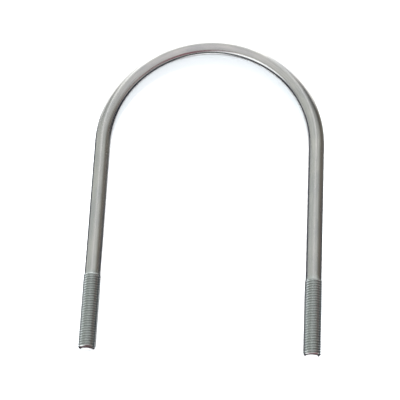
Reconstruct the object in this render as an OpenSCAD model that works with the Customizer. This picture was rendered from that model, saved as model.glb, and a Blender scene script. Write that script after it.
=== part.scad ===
// Round-bow U-bolt: one steel rod, bent to a half circle, with a rolled
// thread on the end of each leg.
//
// The U lies flat. X runs across the two legs, the legs point along -Y and
// the bow is on the +Y side. Z is the thickness of the rod. The origin is
// the centre of the bend, which is the axis of the pipe that it holds.
// Every length is in millimetres.

/* [U shape] */

// Clear width between the two plain legs, the size of the pipe plus play
inside_width = 142; // [60:1:200]
// Length of one leg, from the end of the bend to the end of the rod
leg_length = 153; // [80:1:260]

/* [Thread] */

// Nominal (crest) diameter of the thread
thread_d = 12; // [8:1:20]
// Thread pitch
thread_pitch = 1.75; // [1.25:0.25:2.5]
// Length of thread on each leg, with its run-out and end chamfer
thread_length = 53; // [25:1:100]
// Length of the 45 degree chamfer at each end of the rod
end_chamfer = 1.2; // [0.6:0.1:2]

/* [Build] */

// Node to build, or "all" for the whole part

/* [Hidden] */

$fn = 96;

zinc_plate = [0.69, 0.71, 0.71];

// A rolled thread is pressed up out of a rod of the thread's pitch diameter,
// so the plain rod is thinner than the thread crests.
rod_d = thread_d - 0.6495 * thread_pitch;
rod_r = rod_d / 2;
crest_r = thread_d / 2;
root_r = crest_r - 0.6134 * thread_pitch;

// Radius of the bend, measured to the middle of the rod.
bend_r = inside_width / 2 + rod_r;

// 60 degree thread form: a crest flat, two flanks and a root flat.
crest_flat = thread_pitch / 8;
flank = (crest_r - root_r) * tan(30);
root_flat = thread_pitch - crest_flat - 2 * flank;
half_flank = (rod_r - root_r) * tan(30);

// Whole thread ridges that fit between the plain rod and the end chamfer.
plain_length = leg_length - thread_length;
ridges = floor((thread_length - end_chamfer - thread_pitch) / thread_pitch);

// Points of one thread ridge, from the root before it to the root after it,
// with the ridge starting at height z.
function ridge(z) = [
    [root_r, z + root_flat],
    [crest_r, z + root_flat + flank],
    [crest_r, z + root_flat + flank + crest_flat],
    [root_r, z + thread_pitch]
];

// Half outline of a whole leg, plain rod first, then thread, then chamfer.
// The first thread root runs out into the plain rod over half a flank.
function leg_outline() = concat(
    [[0, 0], [rod_r, 0], [rod_r, plain_length - half_flank], [root_r, plain_length]],
    [for (i = [0 : ridges - 1]) each ridge(plain_length + i * thread_pitch)],
    [
        [root_r, plain_length + ridges * thread_pitch + root_flat],
        [crest_r, plain_length + ridges * thread_pitch + root_flat + flank],
        [crest_r, leg_length - end_chamfer],
        [crest_r - end_chamfer, leg_length],
        [0, leg_length]
    ]
);

// Half circle of round rod that the pipe sits in.
module bow() {
    rotate_extrude(angle = 180)
        translate([bend_r, 0])
            circle(d = rod_d);
}

// One straight leg with its threaded end, on the side given (-1 or 1).
module leg(side) {
    translate([side * bend_r, 0, 0])
        rotate([90, 0, 0])
            rotate_extrude()
                polygon(leg_outline());
}

// The whole bolt is a single bent and threaded rod.
module u_bolt() {
    color(zinc_plate)
        union() {
            bow();
            leg(-1);
            leg(1);
        }
}

u_bolt();
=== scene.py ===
"""Zinc-plated U-bolt: one bent steel rod with a rolled thread on each leg end.

The CAD node u_bolt stays in MuJoCo for collision. Here one continuous mesh
replaces it, with real right-hand helical threads in place of the CAD rings.
All lengths are in metres, in the CAD model's own frame.
"""

import math
from collections import namedtuple

import bpy
import numpy as np
from mathutils import Matrix, Vector


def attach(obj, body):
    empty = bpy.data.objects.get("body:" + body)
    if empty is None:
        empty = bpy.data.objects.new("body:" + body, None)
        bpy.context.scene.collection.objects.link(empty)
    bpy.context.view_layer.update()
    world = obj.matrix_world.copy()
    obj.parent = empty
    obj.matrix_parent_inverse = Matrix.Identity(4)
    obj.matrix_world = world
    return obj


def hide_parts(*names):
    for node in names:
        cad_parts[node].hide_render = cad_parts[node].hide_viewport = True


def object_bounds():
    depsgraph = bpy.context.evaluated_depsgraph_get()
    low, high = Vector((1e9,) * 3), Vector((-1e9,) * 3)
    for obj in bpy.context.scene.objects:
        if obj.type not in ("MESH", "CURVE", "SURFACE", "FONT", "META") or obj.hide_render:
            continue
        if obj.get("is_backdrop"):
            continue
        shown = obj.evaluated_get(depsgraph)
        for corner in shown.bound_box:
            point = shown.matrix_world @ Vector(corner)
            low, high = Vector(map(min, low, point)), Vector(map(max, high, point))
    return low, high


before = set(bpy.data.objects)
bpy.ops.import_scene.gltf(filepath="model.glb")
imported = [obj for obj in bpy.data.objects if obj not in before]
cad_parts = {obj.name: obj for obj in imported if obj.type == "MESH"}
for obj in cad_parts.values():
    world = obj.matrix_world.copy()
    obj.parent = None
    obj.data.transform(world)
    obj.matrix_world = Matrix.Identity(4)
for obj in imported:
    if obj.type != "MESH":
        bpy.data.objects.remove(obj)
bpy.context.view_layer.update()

MM = 0.001

# ---------------------------------------------------------------- dimensions
# The same driving sizes as the CAD part, from which the rest is worked out.
INSIDE_WIDTH = 142 * MM
LEG_LENGTH = 153 * MM
THREAD_D = 12 * MM
PITCH = 1.75 * MM
THREAD_LENGTH = 53 * MM
END_CHAMFER = 1.2 * MM

# ISO metric thread form, as shares of the pitch. The plain rod has the thread's
# pitch diameter, because the thread is rolled.
PITCH_DIAMETER_DROP = 0.6495
THREAD_DEPTH = 0.6134

ROD_R = (THREAD_D - PITCH_DIAMETER_DROP * PITCH) / 2
CREST_R = THREAD_D / 2
ROOT_R = CREST_R - THREAD_DEPTH * PITCH
BEND_R = INSIDE_WIDTH / 2 + ROD_R
BOW_LENGTH = math.pi * BEND_R
ROD_LENGTH = 2 * LEG_LENGTH + BOW_LENGTH

# Mesh density.
AROUND = 72             # vertices round the rod
SHANK_STEP = 3 * MM     # distance between rings on a straight leg
BOW_RINGS = 150         # rings round the bow
SHARP_ANGLE = 38        # degrees between faces, above which an edge is sharp

# One pitch of the rolled thread, as fractions of the pitch from root to root.
THREAD_PHASES = (0, 0.055, 0.105, 0.27, 0.42, 0.455, 0.545, 0.58, 0.73, 0.895, 0.945)
FLANK_PHASE = 0.25      # middle of the flank on the low side of a ridge
FLANK_REACH = 0.18      # how far a flank goes to each side of its middle
RUN_OUT = 0.6 * PITCH   # length over which the thread fades into the plain rod
EDGE_ROUND = 0.08 * MM  # rounding of the crest and root corners

# The end of a leg: a chamfer, a rounded shoulder and a nearly flat face.
END_ROUND = 0.8 * MM    # length of the shoulder
FACE_R = 4.0 * MM       # radius of the face
DISH = 0.03 * MM        # hollow in the middle of the face
SHOULDER_RINGS = (0.7, 0.45, 0.25, 0.12, 0.04, 0.0)  # as shares of END_ROUND
FACE_RINGS = (0.95, 0.7, 0.35)                       # as shares of FACE_R
SLIVER = 1e-7           # rows closer than this to an end ring join it

# Where a leg's thread starts and its tip lies along the rod, and how far its
# helix is turned, as a fraction of a turn. The thread runs out under the right
# leg and near the top of the left one.
Leg = namedtuple("Leg", "start tip lead")
RIGHT_LEG = Leg(0.0, 0.0, 0.24)
LEFT_LEG = Leg(ROD_LENGTH - THREAD_LENGTH, ROD_LENGTH, 0.0)


def smooth_step(x):
    """0 to 1 with level ends, for x from 0 to 1."""
    x = min(max(x, 0.0), 1.0)
    return x * x * (3 - 2 * x)


# ------------------------------------------------------------------ geometry
def rod_frame(s):
    """Centre and outward direction at distance s along the rod.

    s starts at the tip of the right leg (+X), runs up that leg, over the bow
    and down to the tip of the left leg.
    """
    if s < LEG_LENGTH:
        return Vector((BEND_R, s - LEG_LENGTH, 0)), Vector((1, 0, 0))
    if s > LEG_LENGTH + BOW_LENGTH:
        return Vector((-BEND_R, LEG_LENGTH + BOW_LENGTH - s, 0)), Vector((-1, 0, 0))
    turn = (s - LEG_LENGTH) / BEND_R
    out = Vector((math.cos(turn), math.sin(turn), 0))
    return out * BEND_R, out


def soft_limit(value, low, high, ease):
    """value held between low and high, with corners rounded over ease."""
    top = 0.5 * (value + high - math.sqrt((value - high) ** 2 + ease**2))
    return 0.5 * (top + low + math.sqrt((top - low) ** 2 + ease**2))


def thread_radius(phase):
    """Radius of the full 60 degree thread form at a fraction of the pitch."""
    sharp_depth = PITCH * math.cos(math.radians(30))
    ramp = 1 - abs(1 - 2 * (phase % 1.0))
    sharp = CREST_R + sharp_depth / 8 - sharp_depth * (1 - ramp)
    return soft_limit(sharp, ROOT_R, CREST_R, EDGE_ROUND)


def end_radius(from_tip):
    """Radius of the end form: a 45 degree chamfer that rounds over to the end face."""
    if from_tip > END_ROUND:
        return CREST_R - END_CHAMFER + from_tip
    shoulder = CREST_R - END_CHAMFER + END_ROUND
    return FACE_R + (shoulder - FACE_R) * math.sqrt(from_tip / END_ROUND)


def rod_radius(from_tip, phase):
    """Radius of the rod at a distance from its nearer tip.

    The thread fades out into the plain rod, and the end form cuts its first turn.
    """
    grown = smooth_step((THREAD_LENGTH - from_tip) / RUN_OUT)
    radius = ROD_R + grown * (thread_radius(phase) - ROD_R)
    return min(radius, end_radius(from_tip))


class RodMesh:
    """Vertices and faces in rod coordinates: distance s, turn and radius.

    Each vertex also says for the material whether it is on the thread, and whether it is on a
    flank that faces the bow, which the material darkens with painted shade.
    """

    def __init__(self):
        self.points = []
        self.rod_space = []
        self.threaded = []
        self.bow_side = []
        self.faces = []

    def vertex(self, s, column, radius, threaded=0.0, bow_side=0.0):
        centre, out = rod_frame(s)
        turn = 2 * math.pi * column / AROUND
        offset = out * math.cos(turn) - Vector((0, 0, 1)) * math.sin(turn)
        self.points.append(centre + offset * radius)
        self.rod_space.append((radius * math.cos(turn), radius * math.sin(turn), s))
        self.threaded.append(threaded)
        self.bow_side.append(bow_side)
        return len(self.points) - 1

    def ring(self, s, radius, threaded=0.0):
        return [self.vertex(s, c, radius, threaded) for c in range(AROUND)]

    def face(self, *corners):
        kept = [v for i, v in enumerate(corners) if v != corners[i - 1]]
        if len(set(kept)) >= 3:
            self.faces.append(kept)

    def bridge(self, lower, upper):
        for c in range(AROUND):
            n = (c + 1) % AROUND
            self.face(lower[c], lower[n], upper[n], upper[c])

    def cut_ring(self, s, leg):
        """Flat ring that follows the thread's own surface at distance s."""
        from_tip = abs(s - leg.tip)
        ring = []
        for column in range(AROUND):
            phase = (s - leg.start) / PITCH - column / AROUND - leg.lead
            radius = rod_radius(from_tip, phase)
            ring.append(self.vertex(s, column, radius, float(from_tip > END_CHAMFER)))
        return ring

    def thread(self, leg):
        """Helical grid over one leg's thread, up to the rounding of its end.

        Each row follows the helix, so crests and roots are unbroken lines.
        Rows that would pass an end stop at that end's flat ring. Returns the
        two flat rings.
        """
        first, last = leg.start, leg.start + THREAD_LENGTH
        if leg.tip == first:
            first += END_ROUND
        else:
            last -= END_ROUND
        low = self.cut_ring(first, leg)
        high = self.cut_ring(last, leg)
        turns = math.ceil(THREAD_LENGTH / PITCH)
        phases = [t + p for t in range(-1, turns + 1) for p in THREAD_PHASES]
        bow_flank = FLANK_PHASE if leg.tip > leg.start else 1 - FLANK_PHASE
        known = {}

        def corner(row, column):
            if column == AROUND:
                row, column = row + len(THREAD_PHASES), 0
            if row >= len(phases):
                return high[column]
            if (row, column) not in known:
                s = leg.start + PITCH * (phases[row] + column / AROUND + leg.lead)
                if s <= first + SLIVER:
                    known[row, column] = low[column]
                elif s >= last - SLIVER:
                    known[row, column] = high[column]
                else:
                    from_tip = abs(s - leg.tip)
                    radius = rod_radius(from_tip, phases[row])
                    threaded = float(from_tip > END_CHAMFER)
                    bow_side = float(abs(phases[row] % 1.0 - bow_flank) < FLANK_REACH)
                    known[row, column] = self.vertex(s, column, radius, threaded, bow_side)
            return known[row, column]

        for row in range(len(phases)):
            for column in range(AROUND):
                self.face(
                    corner(row, column),
                    corner(row, column + 1),
                    corner(row + 1, column + 1),
                    corner(row + 1, column),
                )
        return low, high

    def cap(self, rim, leg):
        """Rounded rim and flat, slightly dished face that close the end of a leg."""
        inward = 1 if leg.tip == leg.start else -1
        rings = [self.cut_ring(leg.tip + inward * END_ROUND * share, leg)
                 for share in SHOULDER_RINGS]
        rings += [self.ring(leg.tip + inward * DISH * (1 - share), FACE_R * share)
                  for share in FACE_RINGS]
        for inner in rings:
            self.bridge(*((inner, rim) if inward > 0 else (rim, inner)))
            rim = inner
        centre = self.vertex(leg.tip + inward * DISH, 0, 0.0)
        for c in range(AROUND):
            n = (c + 1) % AROUND
            self.face(centre, *((rim[n], rim[c]) if inward > 0 else (rim[c], rim[n])))


def plain_stations():
    """Distances of the plain rod's rings, between the two threads."""
    leg = LEG_LENGTH - THREAD_LENGTH
    steps = round(leg / SHANK_STEP)
    up = [THREAD_LENGTH + leg * i / steps for i in range(1, steps + 1)]
    bow = [LEG_LENGTH + BOW_LENGTH * i / BOW_RINGS for i in range(1, BOW_RINGS)]
    return up + bow + [ROD_LENGTH - s for s in reversed(up)]


def build_u_bolt():
    rod = RodMesh()
    low, high = rod.thread(RIGHT_LEG)
    rod.cap(low, RIGHT_LEG)
    for s in plain_stations():
        ring = rod.ring(s, ROD_R)
        rod.bridge(high, ring)
        high = ring
    low, high_end = rod.thread(LEFT_LEG)
    rod.bridge(high, low)
    rod.cap(high_end, LEFT_LEG)

    mesh = bpy.data.meshes.new("u_bolt_rod")
    mesh.from_pydata(rod.points, [], rod.faces)
    mesh.validate()
    space = mesh.attributes.new("rod_space", "FLOAT_VECTOR", "POINT")
    space.data.foreach_set("vector", np.array(rod.rod_space, dtype=np.float32).ravel())
    for name, values in (("threaded", rod.threaded), ("bow_side", rod.bow_side)):
        mask = mesh.attributes.new(name, "FLOAT", "POINT")
        mask.data.foreach_set("value", np.array(values, dtype=np.float32))
    mesh.shade_smooth()
    mesh.set_sharp_from_angle(angle=math.radians(SHARP_ANGLE))
    piece = bpy.data.objects.new("u_bolt_rod", mesh)
    bpy.context.collection.objects.link(piece)
    return piece


# --------------------------------------------------------------------- nodes
class Nodes:
    """Short names for the shader nodes that the materials use."""

    def __init__(self, tree):
        self.tree = tree
        tree.nodes.clear()

    def add(self, kind, inputs=None, **settings):
        node = self.tree.nodes.new(kind)
        for name, value in settings.items():
            setattr(node, name, value)
        for key, value in (inputs or {}).items():
            if isinstance(value, bpy.types.NodeSocket):
                self.tree.links.new(value, node.inputs[key])
            else:
                node.inputs[key].default_value = value
        return node

    def math(self, operation, a, b=0.0):
        return self.add("ShaderNodeMath", {0: a, 1: b}, operation=operation).outputs[0]

    def length_xy(self, vector):
        flat = self.add("ShaderNodeVectorMath", {0: vector, 1: (1, 1, 0)}, operation="MULTIPLY")
        node = self.add("ShaderNodeVectorMath", {0: flat.outputs[0]}, operation="LENGTH")
        return node.outputs["Value"]

    def dot(self, a, b):
        node = self.add("ShaderNodeVectorMath", {0: a, 1: b}, operation="DOT_PRODUCT")
        return node.outputs["Value"]

    def stretch(self, vector, scale):
        node = self.add("ShaderNodeVectorMath", {0: vector, 1: scale}, operation="MULTIPLY")
        return node.outputs["Vector"]

    def noise(self, vector, scale, detail):
        node = self.add("ShaderNodeTexNoise", {"Vector": vector, "Scale": scale, "Detail": detail})
        return node.outputs["Fac"]

    def span(self, value, low, high, to_low, to_high, smooth=False):
        """value from low..high carried to to_low..to_high, held at both ends."""
        node = self.add(
            "ShaderNodeMapRange",
            {0: value, 1: low, 2: high, 3: to_low, 4: to_high},
            interpolation_type="SMOOTHSTEP" if smooth else "LINEAR",
        )
        return node.outputs[0]

    def mix(self, factor, a, b):
        node = self.add("ShaderNodeMix", {0: factor, 6: a, 7: b}, data_type="RGBA")
        return node.outputs[2]


def colour(r, g, b):
    return (r, g, b, 1.0)


# Zinc plate, from clean to worn.
PLATE_WARM = colour(0.79, 0.78, 0.755)
PLATE_COOL = colour(0.64, 0.65, 0.655)
PLATE_WORN = colour(0.50, 0.51, 0.50)

# Colours of a leg's end and the radii between which each one sets in: a painted highlight on the
# chamfer and painted shade on the rounded shoulder. The shoulder's painted shade stops inside the
# plain rod's radius, so it stays off the rod.
CHAMFER_PAINTED_HIGHLIGHT = colour(0.95, 0.95, 0.94)
CHAMFER_START = (5.5 * MM, 5.6 * MM)
SHOULDER_PAINTED_SHADE = colour(0.25, 0.20, 0.21)
SHOULDER_START = (FACE_R, FACE_R + 0.2 * MM)
SHOULDER_STOP = (5.25 * MM, 5.4 * MM)

# The thread's tint, from root to crest, with painted shade that darkens the roots and flanks.
# Flanks that face the bow carry darker painted shade.
THREAD_ROOT_TINT_AND_SHADE = colour(0.62, 0.66, 0.645)
THREAD_FLANK_TINT_AND_SHADE = colour(0.69, 0.735, 0.72)
BOW_FLANK_PAINTED_SHADE = colour(0.30, 0.32, 0.315)
THREAD_CREST_TONE = colour(0.80, 0.86, 0.84)

# Noise: scale per metre, and how much it is drawn out along the rod.
CLOUD_SCALE = 160
CLOUD_STRETCH = (1, 1, 0.35)
STREAK_SCALE = 1500
STREAK_STRETCH = (1, 1, 0.02)
GRAIN_SCALE = 4200


def zinc_plate():
    """Bright zinc over drawn rod: long fine streaks and a faint cloudy tint, with a painted
    highlight on the chamfers and painted shade on the shoulders and on the thread's roots and
    flanks.
    """
    material = bpy.data.materials.new("zinc_plated_steel")
    material.use_nodes = True
    n = Nodes(material.node_tree)
    space = n.add("ShaderNodeAttribute", attribute_name="rod_space").outputs["Vector"]
    threaded = n.add("ShaderNodeAttribute", attribute_name="threaded").outputs["Fac"]
    bow_side = n.add("ShaderNodeAttribute", attribute_name="bow_side").outputs["Fac"]
    radius = n.length_xy(space)

    clouds = n.noise(n.stretch(space, CLOUD_STRETCH), CLOUD_SCALE, detail=4)
    streaks = n.noise(n.stretch(space, STREAK_STRETCH), STREAK_SCALE, detail=3)
    grain = n.noise(space, GRAIN_SCALE, detail=2)

    plate = n.mix(n.span(clouds, 0.35, 0.65, 0, 1), PLATE_WARM, PLATE_COOL)
    plain = n.mix(n.span(streaks, 0.35, 0.75, 0.0, 0.45), plate, PLATE_WORN)

    # Painted highlight on the chamfer and painted shade on the shoulder, set by the radius from
    # the rod's axis.
    chamfer = n.span(radius, *CHAMFER_START, 0, 1)
    shoulder = n.math("MULTIPLY", n.span(radius, *SHOULDER_START, 0, 1),
                      n.span(radius, *SHOULDER_STOP, 1, 0))
    plain = n.mix(chamfer, plain, CHAMFER_PAINTED_HIGHLIGHT)
    plain = n.mix(shoulder, plain, SHOULDER_PAINTED_SHADE)

    crest = n.span(radius, ROOT_R, CREST_R, 0, 1)
    # Painted shade: roots and flanks darker than the crests, and the flanks that face the bow
    # darker still.
    flank = n.mix(n.span(crest, 0.0, 0.6, 0, 1, smooth=True),
                  THREAD_ROOT_TINT_AND_SHADE, THREAD_FLANK_TINT_AND_SHADE)
    flank = n.mix(bow_side, flank, BOW_FLANK_PAINTED_SHADE)
    thread = n.mix(n.span(crest, 0.72, 1.0, 0, 1, smooth=True), flank, THREAD_CREST_TONE)
    tone = n.mix(threaded, plain, thread)

    roughness = n.math("ADD", n.span(streaks, 0.3, 0.7, 0.16, 0.26),
                       n.span(clouds, 0.3, 0.7, 0.0, 0.05))
    dull = n.math("MULTIPLY", threaded, n.span(crest, 0.7, 1.0, 0.06, 0.02))
    roughness = n.math("ADD", roughness, dull)
    height = n.math("ADD", n.math("MULTIPLY", streaks, 0.7), n.math("MULTIPLY", grain, 0.3))
    bump = n.add("ShaderNodeBump", {"Strength": 0.25, "Distance": 0.02 * MM, "Height": height})

    shader = n.add(
        "ShaderNodeBsdfPrincipled",
        {"Base Color": tone, "Metallic": 1.0, "Roughness": roughness,
         "Normal": bump.outputs["Normal"]},
    )
    n.add("ShaderNodeOutputMaterial", {"Surface": shader.outputs[0]})
    return material


# -------------------------------------------------------------------- camera
CAMERA_TARGET = Vector((-4.3, -43.3, 0)) * MM
CAMERA_DISTANCE = 983.5 * MM
CAMERA_AZIMUTH = 13.56     # degrees from -Y towards +X
CAMERA_ELEVATION = 69.5    # degrees above the plane of the U
CAMERA_ROLL = 11.5         # degrees
CAMERA_LENS = 126          # focal length in mm
CAMERA_SENSOR = 36         # width in mm
CAMERA_CLIP = (0.01, 20)   # nearest and farthest distance seen, in metres


# --------------------------------------------------------------------- stage
def direction(azimuth, elevation):
    """Unit vector: azimuth 0 is +Y, 90 is +X; elevation is above the floor."""
    a, e = math.radians(azimuth), math.radians(elevation)
    return Vector((math.sin(a) * math.cos(e), math.cos(a) * math.cos(e), math.sin(e)))


# Soft patches of the studio that the metal mirrors, each laid over the ones
# before. Angles are in degrees, and the tint is the strength of the light.
Patch = namedtuple("Patch", "name azimuth elevation half_width half_height softness tint")
STUDIO_DOME = colour(0.60, 0.62, 0.59)
STUDIO_PATCHES = (
    Patch("front_ceiling", 165, 60, 51, 41, 0.90, colour(0.76, 0.735, 0.75)),
    Patch("right_wall", 64, 0, 48, 40, 0.75, colour(0.18, 0.165, 0.14)),
    Patch("back_wall_surround", 0, 12, 55, 54, 0.24, colour(0.02, 0.02, 0.02)),
    Patch("front_floor_right", 160, -7, 66, 16, 0.60, colour(0.25, 0.095, 0.125)),
    Patch("left_floor", -69, -42, 20, 27, 0.36, colour(0.03, 0.03, 0.06)),
    Patch("rod_shadow", 165, -76, 87, 42, 0.17, colour(0.03, 0.035, 0.05)),
    Patch("front_floor_low", -132, -39, 17, 14, 0.60, colour(0.2, 0.21, 0.22)),
    Patch("front_floor_left", -142, -17, 32, 14, 0.45, colour(1.8, 1.85, 1.9)),
    Patch("end_floor", -170, -76, 10, 10, 0.60, colour(2.1, 2.15, 2.2)),
    Patch("back_wall", -5.5, -10.5, 46.5, 66, 0.25, colour(2.1, 2.1, 2.1)),
    Patch("back_wall_top", -13, 47, 14, 15, 0.45, colour(2.1, 2.1, 2.1)),
)
PATCH_POWER = 1.5      # 2 makes an oval patch, 1 a diamond


def patch_mask(n, view, patch):
    """How much of a patch shows in the direction looked in, from 0 to 1."""
    axis = direction(patch.azimuth, patch.elevation)
    across = direction(patch.azimuth + 90, 0)
    upward = across.cross(axis)
    if upward.z < 0:
        upward = -upward

    def share(way, half):
        along = n.math("ABSOLUTE", n.dot(view, tuple(way)))
        scaled = n.math("DIVIDE", along, math.sin(math.radians(half)))
        return n.math("POWER", scaled, PATCH_POWER)

    reach = n.math("ADD", share(across, patch.half_width), share(upward, patch.half_height))
    inside = n.span(reach, 1 + patch.softness, 1 - patch.softness, 0, 1, smooth=True)
    facing = n.math("GREATER_THAN", n.dot(view, tuple(axis)), 0.0)
    return n.math("MULTIPLY", inside, facing)


def light_studio():
    """A soft dome. The camera itself sees plain white beyond the floor."""
    world = bpy.data.worlds.new("studio")
    world.use_nodes = True
    bpy.context.scene.world = world
    n = Nodes(world.node_tree)
    view = n.add("ShaderNodeTexCoord").outputs["Generated"]
    sky = STUDIO_DOME
    for patch in STUDIO_PATCHES:
        sky = n.mix(patch_mask(n, view, patch), sky, patch.tint)
    is_camera = n.add("ShaderNodeLightPath").outputs["Is Camera Ray"]
    seen = n.mix(is_camera, sky, colour(1, 1, 1))
    dome = n.add("ShaderNodeBackground", {"Color": seen, "Strength": 1.0})
    n.add("ShaderNodeOutputWorld", {"Surface": dome.outputs[0]})


FLOOR_SIZE = 6  # metres
FLOOR_TONE = colour(0.9, 0.9, 0.9)


def lay_floor():
    """Plain white floor under the bolt, left out of the metal's reflections."""
    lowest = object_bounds()[0][2]
    bpy.ops.mesh.primitive_plane_add(size=FLOOR_SIZE, location=(0, 0, lowest))
    floor = bpy.context.object
    floor.name = "floor"
    floor.visible_glossy = False
    material = bpy.data.materials.new("white_floor")
    material.use_nodes = True
    n = Nodes(material.node_tree)
    shader = n.add("ShaderNodeBsdfDiffuse", {"Color": FLOOR_TONE})
    n.add("ShaderNodeOutputMaterial", {"Surface": shader.outputs[0]})
    floor.data.materials.append(material)
    floor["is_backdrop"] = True
    return floor


# Lamps that light the floor alone: strengths for Blender, angles in degrees.
WHITE_LIGHT = (1.0, 1.0, 1.0)
BLUISH_LIGHT = (0.84, 0.935, 1.0)
FRONT_SUN_STRENGTH = 2.0
FRONT_SUN_SPREAD = 8
BACK_SUN_STRENGTH = 3.0
BACK_SUN_SPREAD = 10
BACK_SUN_AZIMUTH = 2
BACK_SUN_ELEVATION = 46
SPOT_STRENGTH = 30
SPOT_CONE = 15
SPOT_DISTANCE = 1.5  # metres from the middle between the tips


def floor_lamp(name, kind, way, strength, tint, receivers):
    """Lamp that shines from a direction, on the floor only."""
    data = bpy.data.lights.new(name, kind)
    data.energy = strength
    data.color = tint
    lamp = bpy.data.objects.new(name, data)
    bpy.context.collection.objects.link(lamp)
    lamp.rotation_mode = "QUATERNION"
    lamp.rotation_quaternion = way.to_track_quat("Z", "Y")
    lamp.light_linking.receiver_collection = receivers
    return lamp


def light_floor(floor):
    """Light the floor to white, with a faint bluish shadow inside the bow.

    The front lamp shines from the camera's side, so the rod hides its shadow.
    The back lamp casts the shadow that shows. The spot lights that shadow away
    round the tips.
    """
    receivers = bpy.data.collections.new("floor_only")
    receivers.objects.link(floor)
    from_camera = direction(180 - CAMERA_AZIMUTH, CAMERA_ELEVATION)
    from_behind = direction(BACK_SUN_AZIMUTH, BACK_SUN_ELEVATION)

    front = floor_lamp("floor_front", "SUN", from_camera, FRONT_SUN_STRENGTH,
                       BLUISH_LIGHT, receivers)
    front.data.angle = math.radians(FRONT_SUN_SPREAD)

    back = floor_lamp("floor_back", "SUN", from_behind, BACK_SUN_STRENGTH,
                      WHITE_LIGHT, receivers)
    back.data.angle = math.radians(BACK_SUN_SPREAD)

    spot = floor_lamp("floor_tips", "SPOT", from_camera, SPOT_STRENGTH,
                      WHITE_LIGHT, receivers)
    spot.location = Vector((0, -LEG_LENGTH, 0)) + from_camera * SPOT_DISTANCE
    spot.data.spot_size = math.radians(SPOT_CONE)
    spot.data.spot_blend = 1.0


def place_camera():
    back = direction(180 - CAMERA_AZIMUTH, CAMERA_ELEVATION)
    side = Vector((0, 0, 1)).cross(back).normalized()
    up = back.cross(side)
    roll = math.radians(CAMERA_ROLL)
    up = up * math.cos(roll) + side * math.sin(roll)
    side = up.cross(back)
    data = bpy.data.cameras.new("camera")
    data.lens = CAMERA_LENS
    data.sensor_width = CAMERA_SENSOR
    data.clip_start, data.clip_end = CAMERA_CLIP
    camera = bpy.data.objects.new("camera", data)
    bpy.context.collection.objects.link(camera)
    turned = Matrix((side, up, back)).transposed().to_4x4()
    camera.matrix_world = Matrix.Translation(CAMERA_TARGET + back * CAMERA_DISTANCE) @ turned
    bpy.context.scene.camera = camera


# --------------------------------------------------------------------- build
u_bolt = build_u_bolt()
u_bolt.data.materials.append(zinc_plate())
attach(u_bolt, "root")
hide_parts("u_bolt")

floor = lay_floor()
light_studio()
light_floor(floor)
place_camera()
bpy.context.scene.view_settings.view_transform = "Standard"
